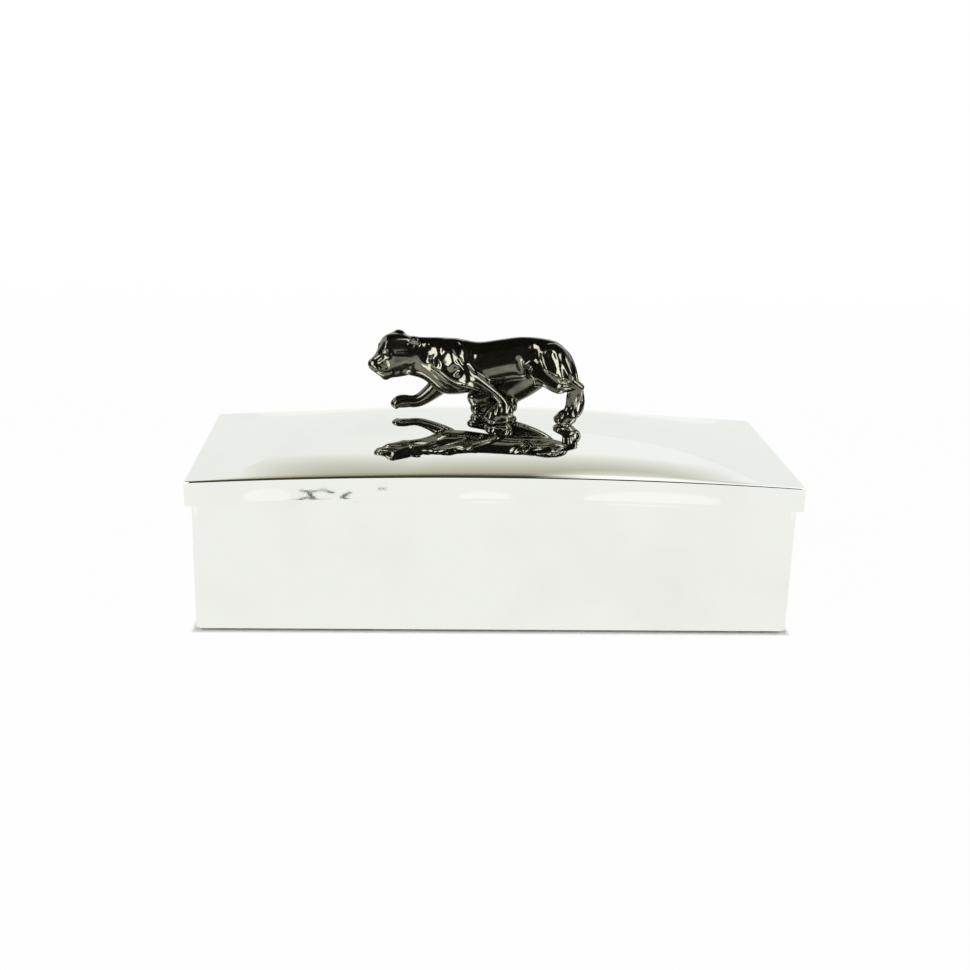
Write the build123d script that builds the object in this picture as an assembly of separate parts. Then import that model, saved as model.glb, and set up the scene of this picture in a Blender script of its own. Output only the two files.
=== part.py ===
from build123d import *
from math import cos, radians, sin
import os

# Lift-off-lid box in polished silver-plated sheet, with a cast big cat as the lid's grip.
# Millimetres. +X runs along the box (the cat faces -X), +Y to the back, +Z up.
# The origin is the middle of the underside, on the surface that the box stands on.

# Box body
box_length = 220.0
box_width = 94.0
wall_sheet = 1.0
base_sheet = 1.0
body_corner_radius = 2.2

# Lid: a pressed sheet with arched long edges and a full, cushion-like crown, on a soldered band
lid_corner_height = 57.0
lid_sheet = 1.0
lid_corner_radius = 1.2
edge_rise = 3.1
crown_rise = 9.9
skirt_height = 9.0
skirt_sheet = 1.2
skirt_gap = 0.8
rest_gap = 0.05

# Felt under the base, and velvet-covered boards inside
felt_thickness = 1.0
felt_inset = 2.5
lining_thickness = 1.6
lining_drop = 3.0
lining_roll = 0.6
lining_clearance = 0.2
floor_pad_thickness = 2.0

# Cast cat: nose to tail, and where its nose and its middle plane lie
cat_length = 82.0
cat_nose_x = -47.3
cat_centre_y = -2.0
head_turn_degrees = 18.0

# Screws and washers that hold the cat from inside the lid
screw_diameter = 3.0
screw_hole_diameter = 3.4
screw_grip_depth = 4.2
screw_tap_clearance = 0.05
screw_head_diameter = 5.6
screw_head_height = 1.9
screw_head_bevel = 0.6
screw_slot_width = 0.8
screw_slot_depth = 0.9
washer_diameter = 8.0
washer_thickness = 0.8
washer_hole_diameter = 3.3

# How far a cutting block runs past what it cuts
overrun = 6.0

# Fullness of the crown: how late it falls towards the ends and towards the long edges
end_fullness = 2.5
side_fullness = 2.0
surface_columns = 17
surface_rows = 11

half_length = box_length / 2
half_width = box_width / 2
body_inset = skirt_sheet + skirt_gap
wall_bottom = felt_thickness
base_top = wall_bottom + base_sheet


def lid_height(x, y):
    """Height of the lid's top face: an arch along the box, and a crown that dies at all four edges."""
    along = abs(x) / half_length
    across = abs(y) / half_width
    crown = (1 - along**end_fullness) * (1 - across**side_fullness)
    return lid_corner_height + edge_rise * (1 - along**2) + crown_rise * crown


def lid_normal(x, y):
    """Upward normal of the lid's top face."""
    step = lid_sheet / 10
    rise_x = lid_height(x + step, y) - lid_height(x - step, y)
    rise_y = lid_height(x, y + step) - lid_height(x, y - step)
    return Vector(-rise_x, -rise_y, 2 * step).normalized()


def below_lid(drop, depth):
    """Everything within depth below the lid's top face, once that face is lowered by drop."""
    reach_x = half_length + overrun
    reach_y = half_width + overrun
    rows = []
    for i in range(surface_columns):
        x = reach_x * (2 * i / (surface_columns - 1) - 1)
        row = []
        for j in range(surface_rows):
            y = reach_y * (2 * j / (surface_rows - 1) - 1)
            row.append(Vector(x, y, lid_height(x, y) - drop))
        rows.append(row)
    face = Face.make_surface_from_array_of_points(rows, tol=lid_sheet / 1000, min_deg=3, max_deg=3)
    return extrude(face, amount=depth, dir=(0, 0, -1))


# Walls stop at a level rim, just under the lid sheet where that is lowest over them
wall_half_length = half_length - body_inset
wall_half_width = half_width - body_inset
rim_height = lid_height(wall_half_length, wall_half_width) - lid_sheet - rest_gap
inner_length = 2 * (wall_half_length - wall_sheet)
inner_width = 2 * (wall_half_width - wall_sheet)
inner_corner_radius = body_corner_radius - wall_sheet


def rounded_block(length, width, radius, bottom, top):
    """Block with rounded upright corners, centred on the box, from bottom to top."""
    plan = Plane((0, 0, bottom)) * RectangleRounded(length, width, radius)
    return extrude(plan, amount=top - bottom)


def make_wall_band():
    """One strip folded round four corners, its ends butted and soldered."""
    length = 2 * wall_half_length
    width = 2 * wall_half_width
    outside = rounded_block(length, width, body_corner_radius, wall_bottom, rim_height)
    hollow_bottom = wall_bottom - overrun
    hollow_top = rim_height + overrun
    hollow = rounded_block(inner_length, inner_width, inner_corner_radius, hollow_bottom, hollow_top)
    return outside - hollow


def make_base_plate():
    """Flat sheet let into the foot of the wall band and soldered."""
    return rounded_block(inner_length, inner_width, inner_corner_radius, wall_bottom, base_top)


def make_base_felt():
    """Felt glued under the base, short of the walls all round."""
    length = 2 * (wall_half_length - felt_inset)
    width = 2 * (wall_half_width - felt_inset)
    return rounded_block(length, width, felt_inset, 0, felt_thickness)


def lining_board(length):
    """Upright velvet-covered board along X, facing -Y, its back on the plane y = 0."""
    height = rim_height - lining_drop - base_top
    board = Box(length, lining_thickness, height, align=(Align.CENTER, Align.MAX, Align.MIN))
    top_edges = board.edges().filter_by(Axis.X).group_by(Axis.Z)[-1]
    front_top_edge = top_edges.sort_by(Axis.Y)[0]
    return fillet(front_top_edge, lining_roll)


def make_linings():
    """Four wall boards glued to the walls, and a floor pad laid between them."""
    end_board = lining_board(inner_width - 2 * inner_corner_radius)
    floor_length = inner_length - 2 * (lining_thickness + lining_clearance)
    floor_width = inner_width - 2 * (lining_thickness + lining_clearance)
    side_board = lining_board(floor_length)
    floor_top = base_top + floor_pad_thickness
    return {
        "lining_back": Pos(0, inner_width / 2, base_top) * side_board,
        "lining_front": Pos(0, -inner_width / 2, base_top) * Rot(0, 0, 180) * side_board,
        "lining_left": Pos(-inner_length / 2, 0, base_top) * Rot(0, 0, 90) * end_board,
        "lining_right": Pos(inner_length / 2, 0, base_top) * Rot(0, 0, -90) * end_board,
        "lining_floor": rounded_block(floor_length, floor_width, lining_roll, base_top, floor_top),
    }


def make_lid_skirt():
    """Band round the lid: its top follows the pressed sheet, its foot keeps to the long edges' arch."""
    low = lid_corner_height - skirt_height
    high = lid_corner_height + edge_rise + overrun
    outside = rounded_block(box_length, box_width, lid_corner_radius, low, high)
    hollow_length = box_length - 2 * skirt_sheet
    hollow_width = box_width - 2 * skirt_sheet
    hollow = rounded_block(hollow_length, hollow_width, lid_corner_radius, low - overrun, high + overrun)
    left = (-half_length, low)
    middle = (0, low + edge_rise)
    right = (half_length, low)
    arch = ThreePointArc(left, middle, right) + Line(right, left)
    scoop = extrude(Plane.XZ * make_face(arch), amount=half_width + overrun, both=True)
    band = outside - hollow - scoop
    return band & below_lid(lid_sheet, high)


def make_lid_top(fastenings):
    """Pressed sheet, trimmed to the band, with a clearance hole for each screw."""
    high = lid_corner_height + edge_rise + crown_rise + overrun
    trim = rounded_block(box_length, box_width, lid_corner_radius, 0, high)
    sheet = below_lid(0, lid_sheet) & trim
    for seat in fastenings:
        drill = Cylinder(screw_hole_diameter / 2, 2 * overrun)
        sheet -= seat * drill
    return sheet


def screw_seat(x, y):
    """Plane square to the lid at (x, y), lowered until a flat washer clears the curved underside."""
    normal = lid_normal(x, y)
    middle = Vector(x, y, lid_height(x, y) - lid_sheet)
    frame = Plane(origin=middle, z_dir=normal)
    dips = []
    for angle in range(0, 360, 30):
        reach = washer_diameter / 2
        corner = frame.from_local_coords(Vector(reach * cos(radians(angle)), reach * sin(radians(angle))))
        dips.append(corner.Z - lid_height(corner.X, corner.Y) + lid_sheet)
    return Plane(origin=middle - normal * max(dips), z_dir=normal)


def make_washer(seat):
    """Flat washer against the lid's underside."""
    ring = Circle(washer_diameter / 2) - Circle(washer_hole_diameter / 2)
    return extrude(seat * ring, amount=-washer_thickness)


def make_screw(seat):
    """Slotted pan-head screw up through washer and lid into the cat's foot."""
    under_head = Pos(0, 0, -washer_thickness)
    shank_length = washer_thickness + lid_sheet + screw_grip_depth
    low_end = (Align.CENTER, Align.CENTER, Align.MIN)
    high_end = (Align.CENTER, Align.CENTER, Align.MAX)
    shank = Cylinder(screw_diameter / 2, shank_length, align=low_end)
    head = Cylinder(screw_head_diameter / 2, screw_head_height, align=high_end)
    head = chamfer(head.edges().group_by(Axis.Z)[0], screw_head_bevel)
    slot_floor = screw_slot_depth - screw_head_height
    slot = Box(screw_head_diameter, screw_slot_width, screw_slot_depth, align=high_end)
    head -= Pos(0, 0, slot_floor) * slot
    return seat * under_head * (shank + head)


def make_tapped_hole(seat):
    """Hole for the screw's upper end, from the seat up into the casting."""
    radius = screw_diameter / 2 + screw_tap_clearance
    depth = lid_sheet + screw_grip_depth + screw_tap_clearance
    return seat * Cylinder(radius, depth, align=(Align.CENTER, Align.CENTER, Align.MIN))


# The cat. Places are shares of cat_length: from the nose backwards, to the cat's right (+Y), and up
# from the ground under its feet. A body row is (back, low, high, half width).
trunk_shares = [
    (0.150, 0.199, 0.380, 0.060),
    (0.248, 0.180, 0.379, 0.070),
    (0.333, 0.117, 0.377, 0.088),
    (0.418, 0.109, 0.372, 0.096),
    (0.504, 0.130, 0.358, 0.091),
    (0.601, 0.160, 0.370, 0.083),
    (0.699, 0.180, 0.386, 0.080),
    (0.796, 0.183, 0.380, 0.086),
    (0.870, 0.190, 0.356, 0.076),
    (0.922, 0.205, 0.302, 0.046),
]
head_shares = [
    (0.225, 0.229, 0.366, 0.040),
    (0.185, 0.198, 0.382, 0.058),
    (0.150, 0.190, 0.394, 0.066),
    (0.110, 0.184, 0.398, 0.068),
    (0.078, 0.182, 0.393, 0.062),
    (0.056, 0.192, 0.368, 0.053),
    (0.036, 0.206, 0.318, 0.042),
    (0.015, 0.220, 0.293, 0.033),
    (-0.002, 0.236, 0.278, 0.024),
    (-0.007, 0.248, 0.271, 0.013),
]
head_pivot_share = 0.190

# A limb row is (back, side, up, half thickness, half width)
near_foreleg_shares = [
    (0.300, -0.030, 0.320, 0.055, 0.035),
    (0.355, -0.072, 0.275, 0.062, 0.040),
    (0.425, -0.088, 0.225, 0.052, 0.040),
    (0.500, -0.090, 0.186, 0.036, 0.032),
    (0.560, -0.089, 0.148, 0.025, 0.025),
    (0.605, -0.087, 0.110, 0.022, 0.023),
    (0.636, -0.086, 0.060, 0.027, 0.029),
]
near_forepaw_shares = [
    (0.662, -0.086, 0.042, 0.023, 0.025),
    (0.642, -0.087, 0.046, 0.049, 0.040),
    (0.605, -0.089, 0.042, 0.050, 0.044),
    (0.573, -0.091, 0.032, 0.042, 0.042),
    (0.553, -0.092, 0.022, 0.030, 0.034),
]
far_foreleg_shares = [
    (0.430, 0.040, 0.265, 0.036, 0.028),
    (0.388, 0.060, 0.207, 0.052, 0.036),
    (0.341, 0.074, 0.149, 0.051, 0.036),
    (0.292, 0.082, 0.101, 0.041, 0.033),
    (0.240, 0.083, 0.062, 0.033, 0.030),
    (0.195, 0.082, 0.050, 0.029, 0.028),
]
far_forepaw_shares = [
    (0.215, 0.083, 0.052, 0.025, 0.026),
    (0.170, 0.081, 0.054, 0.032, 0.034),
    (0.138, 0.080, 0.051, 0.030, 0.036),
    (0.120, 0.080, 0.046, 0.021, 0.028),
]
near_thigh_shares = [
    (0.815, -0.030, 0.345, 0.045, 0.030),
    (0.828, -0.066, 0.300, 0.085, 0.044),
    (0.838, -0.084, 0.245, 0.106, 0.050),
    (0.835, -0.090, 0.195, 0.096, 0.048),
    (0.820, -0.090, 0.162, 0.050, 0.034),
]
near_calf_shares = [
    (0.750, -0.080, 0.210, 0.040, 0.034),
    (0.815, -0.090, 0.211, 0.045, 0.042),
    (0.880, -0.090, 0.200, 0.035, 0.036),
    (0.940, -0.086, 0.180, 0.029, 0.028),
    (0.981, -0.082, 0.158, 0.022, 0.021),
]
near_shank_shares = [
    (0.964, -0.084, 0.166, 0.028, 0.022),
    (0.942, -0.081, 0.132, 0.038, 0.024),
    (0.932, -0.079, 0.094, 0.031, 0.023),
    (0.926, -0.078, 0.040, 0.030, 0.026),
]
near_hindpaw_shares = [
    (0.955, -0.078, 0.028, 0.022, 0.024),
    (0.928, -0.079, 0.030, 0.041, 0.036),
    (0.897, -0.080, 0.028, 0.038, 0.040),
    (0.876, -0.081, 0.022, 0.029, 0.036),
]
far_hindleg_shares = [
    (0.845, 0.035, 0.292, 0.080, 0.036),
    (0.778, 0.072, 0.212, 0.090, 0.040),
    (0.693, 0.080, 0.142, 0.088, 0.038),
    (0.607, 0.078, 0.098, 0.070, 0.036),
    (0.535, 0.074, 0.080, 0.056, 0.034),
    (0.492, 0.072, 0.072, 0.046, 0.032),
]
far_hindpaw_shares = [
    (0.660, 0.073, 0.030, 0.024, 0.026),
    (0.638, 0.072, 0.031, 0.042, 0.036),
    (0.580, 0.071, 0.030, 0.047, 0.040),
    (0.525, 0.070, 0.028, 0.044, 0.041),
    (0.495, 0.069, 0.022, 0.032, 0.034),
]
tail_shares = [
    (0.856, 0.000, 0.334, 0.022, 0.022),
    (0.902, -0.006, 0.298, 0.022, 0.021),
    (0.932, -0.018, 0.240, 0.019, 0.019),
    (0.951, -0.036, 0.185, 0.017, 0.017),
    (0.977, -0.052, 0.138, 0.014, 0.015),
    (0.985, -0.060, 0.090, 0.013, 0.013),
    (0.974, -0.064, 0.048, 0.011, 0.012),
    (0.946, -0.066, 0.020, 0.009, 0.010),
]
# Side of the block round a paw in which its sole is dressed to the lid
paw_reach_share = 0.28
# Middles of the four toes of each paw, and the three half sizes of one toe
toe_shares = {
    "near_fore": [
        (0.562, -0.122, 0.022),
        (0.550, -0.102, 0.026),
        (0.550, -0.080, 0.026),
        (0.562, -0.060, 0.022),
    ],
    "far_fore": [
        (0.128, 0.052, 0.041),
        (0.118, 0.070, 0.043),
        (0.118, 0.090, 0.043),
        (0.128, 0.108, 0.041),
    ],
    "near_hind": [
        (0.880, -0.110, 0.017),
        (0.866, -0.091, 0.020),
        (0.866, -0.070, 0.020),
        (0.880, -0.051, 0.017),
    ],
    "far_hind": [
        (0.504, 0.038, 0.024),
        (0.492, 0.058, 0.028),
        (0.492, 0.080, 0.028),
        (0.504, 0.100, 0.024),
    ],
}
toe_half_shares = {
    "near_fore": (0.020, 0.0135, 0.026),
    "far_fore": (0.018, 0.0125, 0.022),
    "near_hind": (0.019, 0.0130, 0.022),
    "far_hind": (0.021, 0.0140, 0.028),
}
# A lump is an oval swelling: its middle, its three half sizes, and its tilt in degrees.
# On the body they are the toe joint and heel of the far hind leg, and the throat.
body_lump_shares = [
    ((0.494, 0.071, 0.078), (0.038, 0.034, 0.042), 0),
    ((0.656, 0.073, 0.062), (0.030, 0.038, 0.058), 30),
    ((0.205, 0.000, 0.290), (0.060, 0.068, 0.090), 0),
]
# On the head, before it is turned: muzzle pads, nose, chin, brows, cheeks, jaws, and then the far
# ear, which stands up in two lumps, and the near one, which lies back
head_lump_shares = [
    ((0.030, -0.028, 0.248), (0.021, 0.016, 0.019), 0),
    ((0.030, 0.028, 0.248), (0.021, 0.016, 0.019), 0),
    ((-0.001, 0.000, 0.267), (0.009, 0.013, 0.010), 0),
    ((0.076, 0.000, 0.192), (0.022, 0.020, 0.015), 0),
    ((0.072, -0.036, 0.338), (0.024, 0.018, 0.012), 0),
    ((0.072, 0.036, 0.338), (0.024, 0.018, 0.012), 0),
    ((0.120, -0.046, 0.312), (0.050, 0.034, 0.036), 0),
    ((0.120, 0.046, 0.312), (0.050, 0.034, 0.036), 0),
    ((0.150, -0.030, 0.228), (0.034, 0.026, 0.030), 0),
    ((0.150, 0.030, 0.228), (0.034, 0.026, 0.030), 0),
    ((0.118, 0.052, 0.372), (0.066, 0.018, 0.022), 27),
    ((0.146, 0.060, 0.386), (0.028, 0.014, 0.022), 0),
    ((0.186, -0.060, 0.352), (0.040, 0.016, 0.024), 50),
]
# Middles of the two feet that take screws: back, and to the cat's right
screw_place_shares = [(0.555, 0.070), (0.905, -0.080)]

# The cat's ground: the lid's top face halfway between its near feet
near_feet_side_share = -0.080
ground_height = lid_height(0, cat_centre_y + near_feet_side_share * cat_length)


def cat_point(back, side, up):
    """Place on the cat, from shares of its length."""
    x = cat_nose_x + back * cat_length
    y = cat_centre_y + side * cat_length
    return Vector(x, y, ground_height + up * cat_length)


def upright_oval(row):
    """Oval section across the body, from a body row."""
    back, low, high, half_wide = row
    frame = Plane(origin=cat_point(back, 0, (low + high) / 2), x_dir=(0, 1, 0), z_dir=(1, 0, 0))
    return frame * Ellipse(half_wide * cat_length, (high - low) / 2 * cat_length)


def limb(rows):
    """Limb through oval sections, each square to the line of its neighbours' middles."""
    middles = [cat_point(*row[:3]) for row in rows]
    sections = []
    for i, row in enumerate(rows):
        before = middles[max(i - 1, 0)]
        after = middles[min(i + 1, len(rows) - 1)]
        frame = Plane(origin=middles[i], x_dir=(0, 1, 0), z_dir=after - before)
        sections.append(frame * Ellipse(row[4] * cat_length, row[3] * cat_length))
    return loft(sections)


def lump(middle, half_sizes, tilt=0.0):
    """Oval swelling at a place on the cat, its back end tilted up."""
    ball = scale(Sphere(cat_length), by=half_sizes)
    return Pos(*cat_point(*middle)) * Rot(0, -tilt, 0) * ball


def make_head():
    """Skull, muzzle and ears, turned a little to the cat's left at the neck."""
    head = loft([upright_oval(row) for row in head_shares])
    head += [lump(*row) for row in head_lump_shares]
    pivot = Pos(*cat_point(head_pivot_share, 0, 0))
    return pivot * Rot(0, 0, head_turn_degrees) * pivot.inverse() * head


def make_cat(seats):
    """One casting: trunk, head, legs and tail run together, its feet cut to the lid's curve."""
    limbs = [
        near_foreleg_shares,
        near_forepaw_shares,
        far_foreleg_shares,
        far_forepaw_shares,
        near_thigh_shares,
        near_calf_shares,
        near_shank_shares,
        near_hindpaw_shares,
        far_hindleg_shares,
        far_hindpaw_shares,
        tail_shares,
    ]
    toes = [lump(middle, toe_half_shares[paw]) for paw in toe_shares for middle in toe_shares[paw]]
    swellings = [lump(*row) for row in body_lump_shares]
    trunk = loft([upright_oval(row) for row in trunk_shares])
    cat = trunk + [make_head()] + [limb(rows) for rows in limbs] + swellings + toes
    surroundings = Pos(*cat_point(0.5, 0, 0)) * Box(2 * cat_length, cat_length, 2 * cat_length)
    ground = below_lid(0, cat_length)
    cat -= ground & surroundings
    # Each paw's sole is dressed once more by itself, since the wide cut can miss one at other sizes
    paw_reach = paw_reach_share * cat_length
    for middles in toe_shares.values():
        cat -= ground & (Pos(*cat_point(*middles[0])) * Box(paw_reach, paw_reach, paw_reach))
    for seat in seats:
        cat -= make_tapped_hole(seat)
    return cat


def make_parts():
    """Every node of the box by name."""
    seats = []
    for back, side in screw_place_shares:
        place = cat_point(back, side, 0)
        seats.append(screw_seat(place.X, place.Y))
    parts = {
        "wall_band": make_wall_band(),
        "base_plate": make_base_plate(),
        "base_felt": make_base_felt(),
        "lid_top": make_lid_top(seats),
        "lid_skirt": make_lid_skirt(),
        "cat_figure": make_cat(seats),
        "cat_washers": Compound([make_washer(seat).solid() for seat in seats]),
        "cat_screws": Compound([make_screw(seat).solid() for seat in seats]),
    }
    parts.update(make_linings())
    return parts


os.makedirs("parts", exist_ok=True)
for name, shape in make_parts().items():
    export_step(shape, f"parts/{name}.step")
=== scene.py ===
from math import cos, hypot, pi, radians
import bmesh
import bpy
import numpy as np
from mathutils import Matrix, Vector, noise


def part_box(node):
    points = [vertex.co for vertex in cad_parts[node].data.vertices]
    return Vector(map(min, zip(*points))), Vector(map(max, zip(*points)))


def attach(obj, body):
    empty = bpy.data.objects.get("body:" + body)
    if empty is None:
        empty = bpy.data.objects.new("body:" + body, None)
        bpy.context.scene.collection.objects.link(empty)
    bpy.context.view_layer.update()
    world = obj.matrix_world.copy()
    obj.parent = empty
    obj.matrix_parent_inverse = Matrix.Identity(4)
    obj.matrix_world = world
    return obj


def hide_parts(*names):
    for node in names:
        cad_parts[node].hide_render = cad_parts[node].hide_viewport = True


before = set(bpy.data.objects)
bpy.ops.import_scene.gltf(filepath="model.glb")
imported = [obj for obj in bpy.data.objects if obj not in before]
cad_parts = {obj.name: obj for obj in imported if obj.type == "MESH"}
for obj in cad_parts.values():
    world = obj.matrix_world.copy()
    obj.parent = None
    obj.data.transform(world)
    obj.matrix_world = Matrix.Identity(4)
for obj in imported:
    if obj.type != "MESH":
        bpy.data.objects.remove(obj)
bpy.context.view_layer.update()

# Base felt
# A slip of black wool felt, cut with rounded corners and glued under the base plate so that the box
# doesn't mark a table. Its fibres stand a little proud along the cut edge.

felt_corner_radius = 0.0025
felt_edge_roll = 0.0002
felt_cell = 0.004
felt_fuzz = 0.00006
felt_fuzz_waves = 900
felt_colour = (0.018, 0.017, 0.016, 1)
felt_fibre_colour = (0.050, 0.048, 0.046, 1)
felt_fibre_waves = 1800
felt_fibre_range = (0.45, 0.75)
felt_fibre_depth = 0.00008
felt_matting_waves = 260
felt_matting_depth = 0.00015
corner_steps = 6
# What counts as upright and as square, and a length that counts as nothing
upright_limit = 0.99
square_angle = 0.8
hair = 1e-7


def new_node(material, kind, inputs=None, **settings):
    """A node with its input values and its settings."""
    node = material.node_tree.nodes.new(kind)
    for name, value in (inputs or {}).items():
        node.inputs[name].default_value = value
    for name, value in settings.items():
        setattr(node, name, value)
    return node


def new_material(name, **shader_values):
    """A material, its main shader, and where its patterns read their place."""
    material = bpy.data.materials.new(name)
    material.use_nodes = True
    material.node_tree.nodes.clear()
    shader = new_node(material, "ShaderNodeBsdfPrincipled")
    for socket, value in shader_values.items():
        shader.inputs[socket.replace("_", " ")].default_value = value
    output = new_node(material, "ShaderNodeOutputMaterial")
    place = new_node(material, "ShaderNodeTexCoord")
    material.node_tree.links.new(shader.outputs[0], output.inputs[0])
    return material, shader, place.outputs["Object"]


def cloud(material, place, scale, detail=3.0, stretch=(1, 1, 1), turn=(0, 0, 0)):
    """Noise of a given scale in waves per metre, stretched along the mapped axes."""
    mapping = new_node(material, "ShaderNodeMapping", {"Scale": stretch, "Rotation": turn})
    texture = new_node(material, "ShaderNodeTexNoise", {"Scale": scale, "Detail": detail})
    material.node_tree.links.new(place, mapping.inputs["Vector"])
    material.node_tree.links.new(mapping.outputs[0], texture.inputs["Vector"])
    return texture.outputs["Fac"]


def ramp(material, value, low, high, out_low=0, out_high=1, **settings):
    """The value's range from low to high, spread from out_low to out_high."""
    span = new_node(material, "ShaderNodeMapRange", **settings)
    for socket, number in zip(("From Min", "From Max", "To Min", "To Max"), (low, high, out_low, out_high)):
        span.inputs[socket].default_value = number
    material.node_tree.links.new(value, span.inputs["Value"])
    return span.outputs["Result"]


def blend_colours(material, factor, first, second):
    """Two colours mixed by a factor. Each is a plain colour or another node's output."""
    mix = new_node(material, "ShaderNodeMix", data_type="RGBA")
    sockets = [socket for socket in mix.inputs if socket.type == "RGBA"]
    for socket, colour in zip(sockets, (first, second)):
        if isinstance(colour, tuple):
            socket.default_value = colour
        else:
            material.node_tree.links.new(colour, socket)
    material.node_tree.links.new(factor, mix.inputs["Factor"])
    return next(socket for socket in mix.outputs if socket.type == "RGBA")


def two_tones(material, shader, pattern, span, first, second):
    """The shader's colour, which goes from first to second as the pattern crosses its span."""
    colour = blend_colours(material, ramp(material, pattern, *span), first, second)
    material.node_tree.links.new(colour, shader.inputs["Base Color"])


def bump(material, shader, height, depth, before=None):
    """Small relief of a given depth in metres on the shader's normal."""
    relief = new_node(material, "ShaderNodeBump", {"Distance": depth})
    material.node_tree.links.new(height, relief.inputs["Height"])
    if before:
        material.node_tree.links.new(before, relief.inputs["Normal"])
    material.node_tree.links.new(relief.outputs[0], shader.inputs["Normal"])
    return relief.outputs[0]


def box_mesh(low, high):
    """A bmesh box between two corners."""
    bm = bmesh.new()
    middle = (Vector(low) + Vector(high)) / 2
    size = Vector(high) - Vector(low)
    bmesh.ops.create_cube(bm, size=1, matrix=Matrix.Translation(middle) @ Matrix.Diagonal(size.to_4d()))
    return bm


def upright_edges(bm):
    """Edges that stand along Z."""
    return [e for e in bm.edges if abs((e.verts[0].co - e.verts[1].co).normalized().z) > upright_limit]


def square_edges(bm):
    """Edges between two faces that meet about squarely."""
    return [e for e in bm.edges if len(e.link_faces) == 2 and e.calc_face_angle() > square_angle]


def round_edges(bm, edges, radius, segments):
    """Edges rolled over to a radius."""
    bmesh.ops.bevel(
        bm, geom=edges, offset=radius, segments=segments, affect="EDGES", profile=0.5, material=-1
    )


def slice_grid(bm, axis, start, end, step):
    """Cuts through the whole mesh, a step apart, square to one axis."""
    count = max(1, round((end - start) / step))
    normal = [0, 0, 0]
    normal[axis] = 1
    for i in range(1, count):
        place = [0, 0, 0]
        place[axis] = start + (end - start) * i / count
        everything = bm.verts[:] + bm.edges[:] + bm.faces[:]
        bmesh.ops.bisect_plane(bm, geom=everything, plane_co=place, plane_no=normal, dist=hair)


def add_object(name, bm, material):
    """The finished mesh as an object of one material."""
    mesh = bpy.data.meshes.new(name)
    bm.to_mesh(mesh)
    bm.free()
    mesh.materials.append(material)
    made = bpy.data.objects.new(name, mesh)
    bpy.context.scene.collection.objects.link(made)
    return made


def every_face(face):
    """Smooth shading all over."""
    return True


def add_piece(name, bm, body, material, node, smooth=every_face):
    """The finished mesh as a piece of the object, riding on its body in place of a CAD node."""
    bm.normal_update()
    for face in bm.faces:
        face.smooth = smooth(face)
    piece = add_object(name, bm, material)
    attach(piece, body)
    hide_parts(node)
    return piece


def make_felt_material():
    """Matted black wool with paler loose fibres."""
    material, shader, place = new_material("black_felt", Roughness=0.95, Sheen_Weight=0.6)
    shader.inputs["Sheen Roughness"].default_value = 0.5
    fibres = cloud(material, place, felt_fibre_waves, detail=6)
    matting = cloud(material, place, felt_matting_waves, detail=4)
    two_tones(material, shader, fibres, felt_fibre_range, felt_colour, felt_fibre_colour)
    coarse = bump(material, shader, matting, felt_matting_depth)
    bump(material, shader, fibres, felt_fibre_depth, before=coarse)
    return material


def make_felt():
    low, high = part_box("base_felt")
    bm = box_mesh(low, high)
    round_edges(bm, upright_edges(bm), felt_corner_radius, corner_steps)
    rims = [e for e in square_edges(bm) if abs(e.verts[0].co.z - e.verts[1].co.z) < hair]
    round_edges(bm, rims, felt_edge_roll, segments=2)
    slice_grid(bm, 0, low[0], high[0], felt_cell)
    slice_grid(bm, 1, low[1], high[1], felt_cell)
    for vert in bm.verts:
        edge_x = min(vert.co.x - low[0], high[0] - vert.co.x)
        edge_y = min(vert.co.y - low[1], high[1] - vert.co.y)
        if min(edge_x, edge_y) < felt_corner_radius:
            stray = noise.noise(vert.co * felt_fuzz_waves) * felt_fuzz
            vert.co.x += stray
            vert.co.y += stray
    return add_piece("felt", bm, "box", make_felt_material(), "base_felt")


make_felt()

# Walls and base plate
# One strip of silver-plated brass sheet folded round four corners, its ends butted and soldered, with
# a flat sheet let into its foot. Both are polished bright, so the finish keeps only faint buffing marks.

wall_sheet = 0.001
wall_corner_radius = 0.0022
wall_rim_roll = 0.00025
wall_corner_steps = 8
# What counts as a level face and as a flat one
level_limit = 0.9
flat_limit = 0.9995
# Its finish, with patterns in waves per metre and relief in metres
silver_colour = (0.955, 0.962, 0.935, 1)
silver_dull_colour = (0.900, 0.905, 0.868, 1)
silver_cloud_waves = 22
silver_cloud_range = (0.5, 0.8)
silver_sheet_waves = 16
silver_sheet_depth = 0.000004
# Buffing marks both ways as (waves per metre, stretch, turn)
buffing_marks = [(70, (1, 6, 40), (0.1, 0.15, 0.35)), (60, (50, 5, 1), (0.2, -0.1, -0.4))]
buffing_range = (0.15, 0.45)
buffing_roughness = (0.015, 0.070)
buffing_depth = 0.0000015


def calculate(material, operation, *values):
    """A sum of one operation on numbers or other nodes' outputs."""
    node = new_node(material, "ShaderNodeMath", operation=operation)
    for socket, value in zip(node.inputs, values):
        if isinstance(value, (int, float)):
            socket.default_value = value
        else:
            material.node_tree.links.new(value, socket)
    return node.outputs[0]


def make_silver(name, wave_depth):
    """Bright silver plate: faint tarnish clouds, buffing hairlines and the sheet's slow waves."""
    material, shader, place = new_material(name, Metallic=1.0)
    clouds = cloud(material, place, silver_cloud_waves, detail=4)
    marks = [
        cloud(material, place, waves, detail=5, stretch=stretch, turn=turn)
        for waves, stretch, turn in buffing_marks
    ]
    both = calculate(material, "MULTIPLY", *marks)
    two_tones(material, shader, clouds, silver_cloud_range, silver_colour, silver_dull_colour)
    buffed = ramp(material, both, *buffing_range, *buffing_roughness)
    material.node_tree.links.new(buffed, shader.inputs["Roughness"])
    slow = bump(material, shader, cloud(material, place, silver_sheet_waves, detail=1), wave_depth)
    bump(material, shader, both, buffing_depth, before=slow)
    return material


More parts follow.
